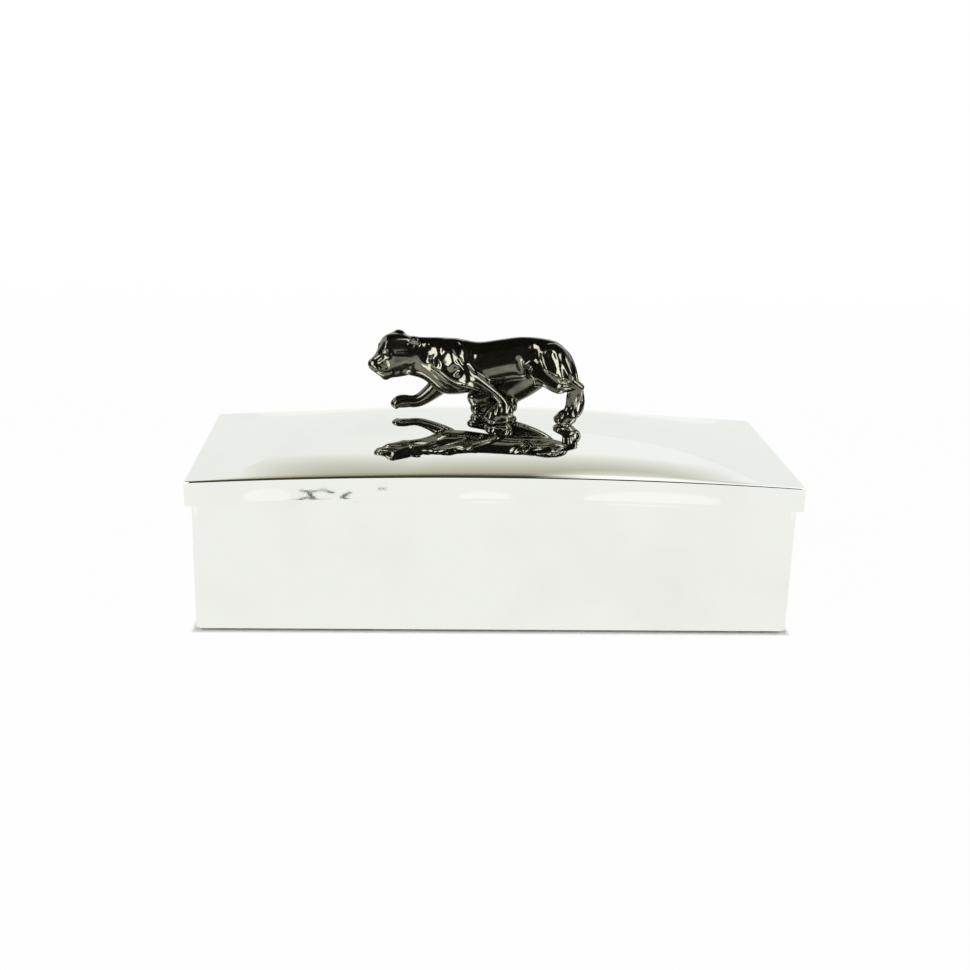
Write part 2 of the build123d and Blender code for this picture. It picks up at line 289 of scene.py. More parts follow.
def flat_stays_flat(face):
    """Smooth shading for rolled edges only, so that a flat sheet mirrors as a flat one."""
    return max(abs(c) for c in face.normal) < flat_limit


def level_faces(bm):
    """Faces that look straight up or down."""
    return [f for f in bm.faces if abs(f.normal.z) > level_limit]


def open_band(low, high, corner_radius, steps):
    """Four upright walls without thickness, with rounded corners."""
    bm = box_mesh(low, high)
    round_edges(bm, upright_edges(bm), corner_radius, steps)
    bmesh.ops.delete(bm, geom=level_faces(bm), context="FACES")
    return bm


def thicken(bm, thickness):
    """The walls' sheet, added on their inner side."""
    bmesh.ops.recalc_face_normals(bm, faces=bm.faces[:])
    bmesh.ops.solidify(bm, geom=bm.faces[:], thickness=thickness)
    bmesh.ops.recalc_face_normals(bm, faces=bm.faces[:])


def make_walls():
    bm = open_band(*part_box("wall_band"), wall_corner_radius, wall_corner_steps)
    thicken(bm, wall_sheet)
    rims = level_faces(bm)
    rim_edges = {e for f in rims for e in f.edges if any(g not in rims for g in e.link_faces)}
    round_edges(bm, list(rim_edges), wall_rim_roll, segments=3)
    return add_piece("walls", bm, "box", silver_flat, "wall_band", smooth=flat_stays_flat)


silver_flat = make_silver("silver_plate_flat", silver_sheet_depth)
walls = make_walls()
base_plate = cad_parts["base_plate"]
base_plate.data.materials.clear()
base_plate.data.materials.append(silver_flat)

# Velvet linings
# Boards covered in dark velvet, turned over their front edges and glued to the walls, and a thin pad of
# the same velvet laid on the base between them.

velvet_colour = (0.020, 0.022, 0.045, 1)
velvet_worn_colour = (0.045, 0.048, 0.085, 1)
velvet_sheen_colour = (0.55, 0.58, 0.85, 1)
velvet_patch_waves = 45
velvet_patch_range = (0.4, 0.7)
velvet_patch_depth = 0.0006
velvet_pile_waves = 3200
velvet_pile_depth = 0.00012
lining_roll = 0.0006
lining_cell = 0.004
velvet_dip = 0.00012
velvet_dip_waves = 70


def make_velvet():
    """Short dense pile, brushed in patches, with a pale sheen at a slant."""
    material, shader, place = new_material("velvet", Roughness=0.85, Sheen_Weight=1.0)
    shader.inputs["Sheen Roughness"].default_value = 0.35
    shader.inputs["Sheen Tint"].default_value = velvet_sheen_colour
    patches = cloud(material, place, velvet_patch_waves, detail=3)
    pile = cloud(material, place, velvet_pile_waves, detail=2)
    two_tones(material, shader, patches, velvet_patch_range, velvet_colour, velvet_worn_colour)
    lay = bump(material, shader, patches, velvet_patch_depth)
    bump(material, shader, pile, velvet_pile_depth, before=lay)
    return material


def make_lining(node, velvet):
    low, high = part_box(node)
    bm = box_mesh(low, high)
    rolled = [e for e in bm.edges if max(vert.co.z for vert in e.verts) > low[2] + hair]
    round_edges(bm, rolled, lining_roll, segments=3)
    for axis in range(3):
        slice_grid(bm, axis, low[axis], high[axis], lining_cell)
    middle = (Vector(low) + Vector(high)) / 2
    for vert in bm.verts:
        dip = (noise.noise(vert.co * velvet_dip_waves) + 1) / 2 * velvet_dip
        vert.co += (middle - vert.co).normalized() * dip
    return add_piece(node + "_velvet", bm, "box", velvet, node)


velvet = make_velvet()
for lining in ("lining_back", "lining_front", "lining_left", "lining_right", "lining_floor"):
    make_lining(lining, velvet)

# Lid band
# A deeper strip of the same plated sheet, soldered under the pressed top. Its foot is cut to the arch of
# the long edges, and hammering it to the corners has left soft dents that bend what it mirrors.

lid_corner_height = 0.0570
lid_sheet = 0.001
edge_rise = 0.0031
crown_rise = 0.0099
end_fullness = 2.5
side_fullness = 2.0
half_length, half_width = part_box("lid_top")[1][:2]
lid_corner_radius = 0.0012
band_height = 0.009
band_sheet = 0.0012
band_step = 0.002
band_rows = 8
band_edge_roll = 0.0003
band_dent_depth = 0.000010


def lid_height(x, y):
    """Height of the lid's top face: an arch along the box, and a crown that dies at all four edges."""
    along = min(abs(x) / half_length, 1)
    across = min(abs(y) / half_width, 1)
    crown = (1 - along**end_fullness) * (1 - across**side_fullness)
    return lid_corner_height + edge_rise * (1 - along**2) + crown_rise * crown


def make_lid_band():
    """The band between heights 0 and 1, which are then laid on the foot's arch and the top's edge."""
    foot = lid_corner_height - band_height
    low_corner, high_corner = (-half_length, -half_width, 0), (half_length, half_width, 1)
    bm = open_band(low_corner, high_corner, lid_corner_radius, corner_steps)
    slice_grid(bm, 0, -half_length, half_length, band_step)
    slice_grid(bm, 1, -half_width, half_width, band_step)
    slice_grid(bm, 2, 0, 1, 1 / band_rows)
    for vert in bm.verts:
        x, y, share = vert.co
        top = lid_height(x, half_width if abs(y) < half_width - lid_corner_radius else y) - lid_sheet
        low = foot + edge_rise * (1 - (x / half_length) ** 2)
        vert.co.z = low + (top - low) * share
    thicken(bm, band_sheet)
    sharp = square_edges(bm)
    rims = [e for e in sharp if max(v.co.z for v in e.verts) < foot + edge_rise + band_sheet]
    for edge in sharp:
        edge.smooth = edge in rims
    round_edges(bm, rims, band_edge_roll, segments=2)
    material = make_silver("silver_plate_band", band_dent_depth)
    return add_piece("lid_band", bm, "lid", material, "lid_skirt")


lid_band = make_lid_band()

# Lid top
# The pressed sheet: arched along its long edges, with a full crown like a cushion that dies at all four
# edges. It is trimmed and polished flush with the band.

lid_cell = 0.0015
lid_edge_radius = 0.00075
lid_edge_steps = 7


def edge_spaced(share, count, half):
    """Place of one of count grid lines, crowded at both ends so that the edge can be rolled over."""
    index = round((share + 1) / 2 * count)
    from_end = min(index, count - index)
    sign = -1 if index * 2 < count else 1
    if from_end < lid_edge_steps:
        return sign * (half - lid_edge_radius * (1 - cos(pi / 2 * from_end / lid_edge_steps)))
    free = count - 2 * lid_edge_steps
    return (half - lid_edge_radius) * (2 * (index - lid_edge_steps) / free - 1)


def edge_drop(x, y):
    """How far the rolled edge has fallen below the lid's top face."""
    near = max(abs(x) - half_length, abs(y) - half_width) + lid_edge_radius
    if near <= 0:
        return 0
    near = min(near, lid_edge_radius)
    return lid_edge_radius - (lid_edge_radius**2 - near**2) ** 0.5


def make_lid_top():
    columns = round(2 * half_length / lid_cell) + 2 * lid_edge_steps
    rows = round(2 * half_width / lid_cell) + 2 * lid_edge_steps
    bm = bmesh.new()
    bmesh.ops.create_grid(bm, x_segments=columns, y_segments=rows, size=1)
    for vert in bm.verts:
        x = edge_spaced(vert.co.x, columns, half_length)
        y = edge_spaced(vert.co.y, rows, half_width)
        top = lid_height(x, y) - edge_drop(x, y)
        corner_x = abs(x) - half_length + lid_corner_radius
        corner_y = abs(y) - half_width + lid_corner_radius
        if corner_x > 0 and corner_y > 0:
            pull = max(corner_x, corner_y) / hypot(corner_x, corner_y)
            x = (abs(x) - corner_x * (1 - pull)) * (1 if x > 0 else -1)
            y = (abs(y) - corner_y * (1 - pull)) * (1 if y > 0 else -1)
        vert.co = (x, y, top)
    lower = bmesh.ops.extrude_face_region(bm, geom=bm.faces[:])
    lowered = {v for v in lower["geom"] if isinstance(v, bmesh.types.BMVert)}
    for vert in lowered:
        vert.co.z = lid_height(vert.co.x, vert.co.y) - lid_sheet
    bmesh.ops.recalc_face_normals(bm, faces=bm.faces[:])
    for edge in square_edges(bm):
        edge.smooth = not lowered.issuperset(edge.verts)
    material = make_silver("silver_plate_lid", silver_sheet_depth)
    return add_piece("lid_sheet", bm, "lid", material, "lid_top")


lid_top = make_lid_top()

# Screws and washers
# Two slotted pan-head steel screws, each on a flat washer, pass from inside the lid up into the cat's
# feet. Turned steel, bright, with fine rings from the lathe.

steel_colour = (0.56, 0.56, 0.55, 1)
steel_dark_colour = (0.40, 0.40, 0.39, 1)
steel_film_waves = 320
steel_film_range = (0.4, 0.7)
lathe_waves = 2600
lathe_stretch = (1, 1, 8)
lathe_range = (0.3, 0.7)
lathe_roughness = (0.22, 0.42)
lathe_depth = 0.00001


def make_turned_steel():
    """Turned steel with fine marks and a dull film in places."""
    material, shader, place = new_material("turned_steel", Metallic=1.0)
    marks = cloud(material, place, lathe_waves, detail=4, stretch=lathe_stretch)
    film = cloud(material, place, steel_film_waves, detail=3)
    two_tones(material, shader, film, steel_film_range, steel_colour, steel_dark_colour)
    turned = ramp(material, marks, *lathe_range, *lathe_roughness)
    material.node_tree.links.new(turned, shader.inputs["Roughness"])
    bump(material, shader, marks, lathe_depth)
    return material


turned_steel = make_turned_steel()
for fastening in ("cat_washers", "cat_screws"):
    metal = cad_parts[fastening]
    metal.data.materials.clear()
    metal.data.materials.append(turned_steel)

# The cat
# A prowling big cat cast in one piece, chased while soft metal so that muscles, folds and face are crisp,
# then plated in black nickel and buffed. Its feet are filed to the lid's curve and screwed from below.

cat_length = 0.0820
cat_nose_x = -0.0473
cat_centre_y = -0.0020
head_turn = radians(18)
head_pivot_share = 0.190
near_feet_side_share = -0.080
ground_height = lid_height(0, cat_centre_y + near_feet_side_share * cat_length)
ring_points = 28
ring_steps = 4
lump_segments = 20
lump_rings = 12
skin_cell = 0.000305
skin_smoothing = 24

# Places are shares of the cat's length: from the nose backwards, to its right, and up from its ground.
# A body row is (back, low, high, half width).
trunk_shares = [
    (0.150, 0.203, 0.378, 0.060),
    (0.248, 0.180, 0.375, 0.070),
    (0.333, 0.117, 0.375, 0.088),
    (0.418, 0.112, 0.369, 0.096),
    (0.504, 0.132, 0.356, 0.091),
    (0.601, 0.162, 0.370, 0.083),
    (0.699, 0.180, 0.383, 0.080),
    (0.796, 0.181, 0.377, 0.086),
    (0.870, 0.190, 0.357, 0.076),
    (0.924, 0.205, 0.304, 0.046),
]
head_shares = [
    (0.225, 0.232, 0.366, 0.040),
    (0.185, 0.203, 0.382, 0.058),
    (0.150, 0.192, 0.392, 0.066),
    (0.110, 0.190, 0.396, 0.068),
    (0.078, 0.188, 0.390, 0.062),
    (0.056, 0.194, 0.366, 0.053),
    (0.036, 0.208, 0.316, 0.042),
    (0.015, 0.222, 0.291, 0.033),
    (-0.002, 0.238, 0.277, 0.024),
    (-0.007, 0.250, 0.271, 0.013),
]
# A limb row is (back, side, up, half thickness, half width)
limb_shares = {
    "near foreleg": [
        (0.300, -0.030, 0.320, 0.055, 0.035),
        (0.355, -0.072, 0.275, 0.062, 0.040),
        (0.425, -0.088, 0.225, 0.052, 0.040),
        (0.500, -0.090, 0.186, 0.036, 0.032),
        (0.560, -0.089, 0.148, 0.025, 0.025),
        (0.605, -0.087, 0.110, 0.022, 0.023),
        (0.636, -0.086, 0.060, 0.027, 0.029),
    ],
    "near forepaw": [
        (0.662, -0.086, 0.042, 0.023, 0.025),
        (0.642, -0.087, 0.046, 0.049, 0.040),
        (0.605, -0.089, 0.042, 0.050, 0.044),
        (0.573, -0.091, 0.032, 0.042, 0.042),
        (0.553, -0.092, 0.022, 0.030, 0.034),
    ],
    "far foreleg": [
        (0.430, 0.040, 0.265, 0.036, 0.028),
        (0.388, 0.060, 0.207, 0.052, 0.036),
        (0.341, 0.074, 0.149, 0.051, 0.036),
        (0.292, 0.082, 0.101, 0.041, 0.033),
        (0.240, 0.083, 0.062, 0.033, 0.030),
        (0.195, 0.082, 0.050, 0.029, 0.028),
    ],
    "far forepaw": [
        (0.215, 0.083, 0.052, 0.025, 0.026),
        (0.170, 0.081, 0.054, 0.032, 0.034),
        (0.138, 0.080, 0.051, 0.030, 0.036),
        (0.120, 0.080, 0.046, 0.021, 0.028),
    ],
    "near thigh": [
        (0.815, -0.030, 0.345, 0.045, 0.030),
        (0.828, -0.066, 0.300, 0.085, 0.044),
        (0.838, -0.084, 0.245, 0.106, 0.050),
        (0.835, -0.090, 0.195, 0.096, 0.048),
        (0.820, -0.090, 0.162, 0.050, 0.034),
    ],
    "near calf": [
        (0.750, -0.080, 0.208, 0.040, 0.034),
        (0.815, -0.090, 0.214, 0.042, 0.042),
        (0.880, -0.090, 0.204, 0.032, 0.036),
        (0.940, -0.086, 0.182, 0.028, 0.028),
        (0.978, -0.082, 0.160, 0.020, 0.021),
    ],
    "near shank": [
        (0.964, -0.084, 0.166, 0.028, 0.022),
        (0.942, -0.081, 0.132, 0.038, 0.024),
        (0.932, -0.079, 0.094, 0.031, 0.023),
        (0.926, -0.078, 0.040, 0.030, 0.026),
    ],
    "near hindpaw": [
        (0.955, -0.078, 0.028, 0.022, 0.024),
        (0.928, -0.079, 0.030, 0.041, 0.036),
        (0.897, -0.080, 0.028, 0.038, 0.040),
        (0.876, -0.081, 0.022, 0.029, 0.036),
    ],
    "far hindleg": [
        (0.845, 0.035, 0.292, 0.080, 0.036),
        (0.778, 0.072, 0.216, 0.086, 0.040),
        (0.693, 0.080, 0.148, 0.083, 0.038),
        (0.607, 0.078, 0.100, 0.072, 0.036),
        (0.535, 0.074, 0.080, 0.058, 0.034),
        (0.492, 0.072, 0.072, 0.046, 0.032),
    ],
    "far hindpaw": [
        (0.660, 0.073, 0.030, 0.024, 0.026),
        (0.638, 0.072, 0.031, 0.042, 0.036),
        (0.580, 0.071, 0.030, 0.047, 0.040),
        (0.525, 0.070, 0.028, 0.044, 0.041),
        (0.495, 0.069, 0.022, 0.032, 0.034),
    ],
    "tail": [
        (0.858, 0.000, 0.334, 0.022, 0.022),
        (0.905, -0.006, 0.298, 0.022, 0.021),
        (0.935, -0.018, 0.240, 0.019, 0.019),
        (0.951, -0.036, 0.185, 0.016, 0.017),
        (0.974, -0.052, 0.140, 0.014, 0.015),
        (0.981, -0.060, 0.092, 0.013, 0.013),
        (0.973, -0.064, 0.048, 0.012, 0.012),
        (0.948, -0.066, 0.020, 0.009, 0.010),
    ],
}
# A paw's toes as the middle of its inner two, how far both pairs stand to the sides of it, how far the
# outer pair lies back and down, and a toe's three half sizes
toe_shares = {
    "near fore": ((0.550, -0.091, 0.026), (0.011, 0.031), (0.012, 0.004), (0.020, 0.0135, 0.026)),
    "far fore": ((0.118, 0.080, 0.043), (0.010, 0.028), (0.010, 0.002), (0.018, 0.0125, 0.022)),
    "near hind": ((0.866, -0.0805, 0.020), (0.0105, 0.0295), (0.014, 0.003), (0.019, 0.0130, 0.022)),
    "far hind": ((0.492, 0.069, 0.028), (0.011, 0.031), (0.012, 0.004), (0.021, 0.0140, 0.028)),
}
# Lumps of the body that no tube gives: middle, three half sizes and tilt in degrees
body_lump_shares = [
    ((0.494, 0.071, 0.078), (0.038, 0.034, 0.042), 0),
    ((0.656, 0.073, 0.062), (0.030, 0.038, 0.058), 30),
    ((0.205, 0.000, 0.290), (0.060, 0.068, 0.090), 0),
    ((0.190, -0.012, 0.285), (0.050, 0.064, 0.066), 0),
]


def cat_point(back, side, up):
    """Place on the cat, from shares of its length."""
    start = (cat_nose_x, cat_centre_y, ground_height)
    return Vector([place + share * cat_length for place, share in zip(start, (back, side, up))])


def between(rows):
    """The rows with smooth rows put in between, by a curve through each four."""
    table = [Vector(row) for row in rows]
    table = [2 * table[0] - table[1]] + table + [2 * table[-1] - table[-2]]
    smooth = []
    for a, b, c, d in zip(table, table[1:], table[2:], table[3:]):
        for i in range(ring_steps):
            t = i / ring_steps
            straight = 2 * b + (c - a) * t
            bend = 2 * a - 5 * b + 4 * c - d
            twist = 3 * b - a - 3 * c + d
            smooth.append((straight + bend * t**2 + twist * t**3) / 2)
    return smooth + [table[-2]]


def add_rings(bm, frames):
    """A closed tube through ring frames, each a matrix whose X and Y are the oval's half axes."""
    rings = []
    for i, matrix in enumerate(frames):
        capped = i in (0, len(frames) - 1)
        ring = bmesh.ops.create_circle(bm, cap_ends=capped, segments=ring_points, radius=1, matrix=matrix)
        rings.append(ring["verts"])
    for first, second in zip(rings, rings[1:]):
        edges = set()
        for ring in (first, second):
            members = set(ring)
            edges |= {e for v in ring for e in v.link_edges if e.other_vert(v) in members}
        bmesh.ops.bridge_loops(bm, edges=list(edges))
    return [v for ring in rings for v in ring]


def oval_frame(middle, along, half_across, half_thick):
    """Ring matrix at middle, square to along, its first axis to the cat's right."""
    normal = along.normalized()
    across = Vector((0, 1, 0))
    first = (across - normal * across.dot(normal)).normalized()
    second = normal.cross(first)
    turn = Matrix((first, second, normal)).transposed().to_4x4()
    return Matrix.Translation(middle) @ turn @ Matrix.Diagonal((half_across, half_thick, 1, 1))


def add_body(bm, rows):
    """Tube through upright ovals across the body."""
    frames = []
    for back, low, high, half_wide in between(rows):
        middle = cat_point(back, 0, (low + high) / 2)
        half_high = (high - low) / 2 * cat_length
        frames.append(oval_frame(middle, Vector((1, 0, 0)), half_wide * cat_length, half_high))
    return add_rings(bm, frames)


def add_limb(bm, rows):
    """Tube through ovals, each square to the line of its neighbours' middles."""
    frames = []
    smooth = between(rows)
    middles = [cat_point(*row[:3]) for row in smooth]
    for i, row in enumerate(smooth):
        along = middles[min(i + 1, len(smooth) - 1)] - middles[max(i - 1, 0)]
        frames.append(oval_frame(middles[i], along, row[4] * cat_length, row[3] * cat_length))
    return add_rings(bm, frames)


def add_lump(bm, middle, half_sizes, tilt=0.0):
    """An oval lump at a place on the cat, its back end tilted up about the cat's cross axis."""
    size = Matrix.Diagonal([half * cat_length for half in half_sizes] + [1])
    matrix = Matrix.Translation(cat_point(*middle)) @ Matrix.Rotation(-tilt, 4, "Y") @ size
    lump = bmesh.ops.create_uvsphere(
        bm, u_segments=lump_segments, v_segments=lump_rings, radius=1, matrix=matrix
    )
    return lump["verts"]


def run_together(bm):
    """The overlapping forms run together into one skin, and softened."""
    mesh = bpy.data.meshes.new("cat_forms")
    bm.to_mesh(mesh)
    bm.free()
    form = bpy.data.objects.new("cat_forms", mesh)
    bpy.context.scene.collection.objects.link(form)
    skin = form.modifiers.new("skin", "REMESH")
    skin.mode = "VOXEL"
    skin.voxel_size = skin_cell
    soften = form.modifiers.new("soften", "SMOOTH")
    soften.factor = 0.5
    soften.iterations = skin_smoothing
    evaluated = form.evaluated_get(bpy.context.evaluated_depsgraph_get())
    result = bpy.data.meshes.new_from_object(evaluated)
    bpy.data.objects.remove(form)
    bpy.data.meshes.remove(mesh)
    return result


# Lumps on both sides of the head before it is turned: muzzle pads, brows, cheeks and jaw
head_pair_shares = [
    ((0.030, 0.030, 0.247), (0.022, 0.018, 0.020)),
    ((0.068, 0.036, 0.334), (0.022, 0.018, 0.011)),
    ((0.120, 0.044, 0.308), (0.052, 0.034, 0.034)),
    ((0.152, 0.030, 0.228), (0.034, 0.026, 0.028)),
]
# Its single lumps with their tilt in degrees: nose, chin, far ear and its tip, near ear
head_lump_shares = [
    ((-0.001, 0.000, 0.267), (0.009, 0.013, 0.010), 0),
    ((0.076, 0.000, 0.194), (0.022, 0.020, 0.015), 0),
    ((0.116, 0.024, 0.364), (0.066, 0.036, 0.030), 27),
    ((0.144, 0.034, 0.384), (0.024, 0.026, 0.022), 0),
    ((0.186, -0.060, 0.350), (0.040, 0.016, 0.024), 50),
]


def make_cat_forms():
    """All the rough forms in one bmesh, the head turned to the cat's left."""
    bm = bmesh.new()
    head = add_body(bm, head_shares)
    for (back, side, up), half_sizes in head_pair_shares:
        for sign in (-1, 1):
            head += add_lump(bm, (back, sign * side, up), half_sizes)
    for middle, half_sizes, tilt in head_lump_shares:
        head += add_lump(bm, middle, half_sizes, radians(tilt))
    pivot = cat_point(head_pivot_share, 0, 0)
    bmesh.ops.rotate(bm, cent=pivot, matrix=Matrix.Rotation(head_turn, 3, "Z"), verts=head)
    add_body(bm, trunk_shares)
    for rows in limb_shares.values():
        add_limb(bm, rows)
    for (back, side, up), (inner, outer), (set_back, drop), half_sizes in toe_shares.values():
        for spread in (-outer, -inner, inner, outer):
            away = 1 if abs(spread) == outer else 0
            add_lump(bm, (back + away * set_back, side + spread, up - away * drop), half_sizes)
    for middle, half_sizes, tilt in body_lump_shares:
        add_lump(bm, middle, half_sizes, radians(tilt))
    bmesh.ops.recalc_face_normals(bm, faces=bm.faces[:])
    return bm


class Chasing:
    """Moves of the skin's points, given in shares of the cat's length."""

    def __init__(self, mesh):
        self.mesh = mesh
        count = len(mesh.vertices)
        self.points = np.empty(count * 3)
        mesh.vertices.foreach_get("co", self.points)
        self.points = self.points.reshape(-1, 3)
        self.refresh()

    def refresh(self):
        """Shares of the body and of the unturned head, and the normals, as they now stand."""
        self.mesh.vertices.foreach_set("co", self.points.ravel())
        self.mesh.update()
        normals = np.empty(len(self.points) * 3, dtype=np.float32)
        self.mesh.vertex_normals.foreach_get("vector", normals)
        self.normals = normals.reshape(-1, 3)
        origin = np.array(cat_point(0, 0, 0))
        self.body = (self.points - origin) / cat_length
        pivot = np.array((head_pivot_share, 0, 0))
        turn = np.array(Matrix.Rotation(-head_turn, 3, "Z"))
        self.head = (self.body - pivot) @ turn.T + pivot
        self.head_normals = self.normals @ turn.T
        self.move = np.zeros(len(self.points))

    def swell(self, space, centre, radii, height):
        """A smooth rise, or a hollow where height is negative."""
        away = (space - np.array(centre)) / np.array(radii)
        self.move += height * np.exp(-((away**2).sum(axis=1)))

    def furrow(self, space, path, half_width, depth, mask):
        """A groove along a path of (back, up) that fades at its ends; a ridge where depth is negative."""
        flat = space[:, [0, 2]]
        nearest = np.full(len(flat), np.inf)
        run = np.zeros(len(flat))
        total = 0
        for start, end in zip(path, path[1:]):
            start, end = np.array(start), np.array(end)
            line = end - start
            length = np.hypot(*line)
            share = np.clip(((flat - start) @ line) / length**2, 0, 1)
            gap = flat - start - share[:, None] * line
            away = np.hypot(gap[:, 0], gap[:, 1])
            run = np.where(away < nearest, total + share * length, run)
            nearest = np.minimum(nearest, away)
            total += length
        fade = np.clip(np.minimum(run, total - run) / (furrow_fade_share * total), 0, 1)
        fade = fade * fade * (3 - 2 * fade)
        self.move -= depth * np.exp(-((nearest / half_width) ** 2)) * fade * mask

    def flatten(self, space, row, turn, mask):
        """Brings the skin along a line of (back, up) towards one plane, which gives a broad facet."""
        flat = space[:, [0, 2]]
        start, end, half_width, facing = np.array(row[:2]), np.array(row[2:4]), row[4], row[5:]
        line = end - start
        share = np.clip(((flat - start) @ line) / (line @ line), 0, 1)
        gap = flat - start - share[:, None] * line
        weight = np.exp(-(((gap**2).sum(axis=1) / half_width**2) ** 2)) * mask
        middle = np.average(space, axis=0, weights=weight * weight)
        normal = np.array((facing[0], -np.sqrt(1 - facing[0] ** 2 - facing[1] ** 2), facing[1]))
        height = (space - middle) @ normal
        outward = normal @ np.array(Matrix.Rotation(turn, 3, "Z")).T
        self.points -= outward * (plane_strength * cat_length * height * weight)[:, None]

    def apply(self):
        self.points += self.normals * (self.move * cat_length)[:, None]
        self.refresh()


def side_mask(space, normals, sign):
    """1 on the skin that faces one side of the cat, fading to 0 on its back and belly. The sign gives
    the side: -1 is the cat's left, which is near to the camera."""
    facing = np.clip(sign * normals[:, 1] * side_sharpness, 0, 1)
    return facing * (sign * space[:, 1] > 0)


# Muscles on both sides as (back, side, up, three radii, height)
muscle_shares = [
    (0.405, 0.060, 0.362, 0.022, 0.04, 0.014, 0.005),
    (0.492, 0.080, 0.306, 0.020, 0.04, 0.018, 0.006),
    (0.225, 0.070, 0.270, 0.024, 0.05, 0.040, -0.006),
    (0.640, 0.080, 0.318, 0.040, 0.05, 0.014, 0.003),
    (0.695, 0.080, 0.255, 0.028, 0.05, 0.050, -0.007),
    (0.738, 0.090, 0.245, 0.018, 0.05, 0.024, 0.006),
]
# Broad chased planes on the near side: (back, up) of both ends, half width, and the slope that a
# plane faces, as its normal's back and up parts
plane_shares = [
    (0.262, 0.350, 0.266, 0.290, 0.015, -0.05, 0.10),
    (0.303, 0.294, 0.312, 0.268, 0.014, -0.12, 0.00),
    (0.352, 0.306, 0.398, 0.240, 0.017, -0.38, 0.40),
    (0.394, 0.246, 0.456, 0.190, 0.024, -0.48, 0.46),
    (0.402, 0.368, 0.416, 0.360, 0.017, -0.46, 0.38),
    (0.825, 0.322, 0.882, 0.220, 0.018, -0.47, 0.40),
    (0.750, 0.350, 0.770, 0.344, 0.019, -0.46, 0.38),
    (0.740, 0.262, 0.850, 0.192, 0.020, 0.00, 0.02),
]
# The same on the head before it is turned: the near temple and cheek
head_plane_shares = [
    (0.070, 0.352, 0.160, 0.352, 0.034, 0.05, 0.10),
    (0.100, 0.292, 0.190, 0.300, 0.030, -0.05, -0.05),
]
plane_strength = 0.9
side_sharpness = 2.0
chased_smoothing = 10
furrow_fade_share = 0.25
head_end_share = 0.21
# Furrows on the near side as (half width, depth, path of (back, up)). A ridge has a negative depth
body_furrow_shares = [
    (0.009, -0.006, [(0.325, 0.385), (0.365, 0.349), (0.393, 0.309), (0.405, 0.285)]),
    (0.010, 0.007, [(0.322, 0.372), (0.326, 0.330), (0.334, 0.290), (0.366, 0.235), (0.410, 0.192)]),
    (0.010, 0.008, [(0.375, 0.335), (0.398, 0.300), (0.424, 0.262), (0.460, 0.228)]),
    (0.014, -0.007, [(0.262, 0.300), (0.300, 0.262), (0.340, 0.230), (0.400, 0.190), (0.480, 0.166)]),
    (0.012, 0.012, [(0.258, 0.262), (0.305, 0.228), (0.355, 0.186), (0.425, 0.152), (0.480, 0.140)]),
    (0.012, 0.008, [(0.220, 0.262), (0.262, 0.238), (0.302, 0.200), (0.350, 0.162), (0.420, 0.138)]),
    (0.012, 0.003, [(0.262, 0.385), (0.250, 0.345), (0.254, 0.300), (0.268, 0.270)]),
    (0.012, 0.006, [(0.432, 0.350), (0.438, 0.310), (0.432, 0.270), (0.450, 0.240)]),
    (0.012, 0.006, [(0.474, 0.345), (0.476, 0.305), (0.468, 0.270), (0.500, 0.225)]),
    (0.009, 0.008, [(0.425, 0.220), (0.480, 0.184), (0.540, 0.142), (0.590, 0.110)]),
    (0.014, 0.010, [(0.676, 0.325), (0.690, 0.262), (0.726, 0.200), (0.760, 0.180)]),
    (0.009, -0.007, [(0.690, 0.328), (0.714, 0.263), (0.748, 0.213), (0.780, 0.196)]),
    (0.009, 0.008, [(0.762, 0.350), (0.770, 0.312), (0.786, 0.276), (0.806, 0.252)]),
    (0.010, 0.007, [(0.862, 0.345), (0.888, 0.285), (0.914, 0.220), (0.940, 0.188)]),
    (0.009, -0.007, [(0.872, 0.330), (0.894, 0.280), (0.918, 0.230), (0.936, 0.200)]),
    (0.012, 0.006, [(0.790, 0.350), (0.800, 0.310), (0.824, 0.262), (0.856, 0.215)]),
    (0.010, 0.012, [(0.752, 0.300), (0.790, 0.252), (0.850, 0.216), (0.960, 0.164)]),
    (0.010, 0.010, [(0.736, 0.226), (0.790, 0.186), (0.860, 0.160), (0.930, 0.142)]),
    (0.008, 0.008, [(0.930, 0.152), (0.926, 0.100), (0.916, 0.055)]),
    (0.007, 0.007, [(0.958, 0.155), (0.952, 0.100), (0.946, 0.045)]),
    (0.007, 0.009, [(0.578, 0.092), (0.574, 0.050), (0.582, 0.006)]),
    (0.007, 0.007, [(0.604, 0.088), (0.598, 0.050), (0.606, 0.004)]),
    (0.008, 0.007, [(0.648, 0.100), (0.640, 0.060), (0.652, 0.010)]),
    (0.007, 0.009, [(0.884, 0.074), (0.878, 0.040), (0.888, 0.004)]),
    (0.007, 0.007, [(0.908, 0.070), (0.902, 0.040), (0.910, 0.004)]),
]
# Features of both sides of the head, before it is turned: swells as above, then furrows
head_swell_shares = [
    (0.066, 0.052, 0.312, 0.020, 0.03, 0.015, -0.014),
    (0.066, 0.052, 0.312, 0.009, 0.03, 0.008, 0.015),
    (-0.006, 0.010, 0.262, 0.006, 0.005, 0.004, -0.005),
]
head_furrow_shares = [
    (0.008, 0.010, [(0.002, 0.236), (0.022, 0.223), (0.052, 0.218), (0.080, 0.222), (0.100, 0.232)]),
    (0.008, 0.009, [(0.052, 0.304), (0.036, 0.288), (0.014, 0.272)]),
    (0.009, -0.008, [(0.046, 0.330), (0.070, 0.340), (0.092, 0.326), (0.098, 0.300), (0.088, 0.284)]),
    (0.009, 0.010, [(0.052, 0.284), (0.064, 0.262), (0.062, 0.232)]),
    (0.007, 0.006, [(0.012, 0.262), (0.030, 0.258), (0.046, 0.246)]),
]
near_ear_cup_shares = (0.188, -0.082, 0.352, 0.016, 0.03, 0.012, -0.014)
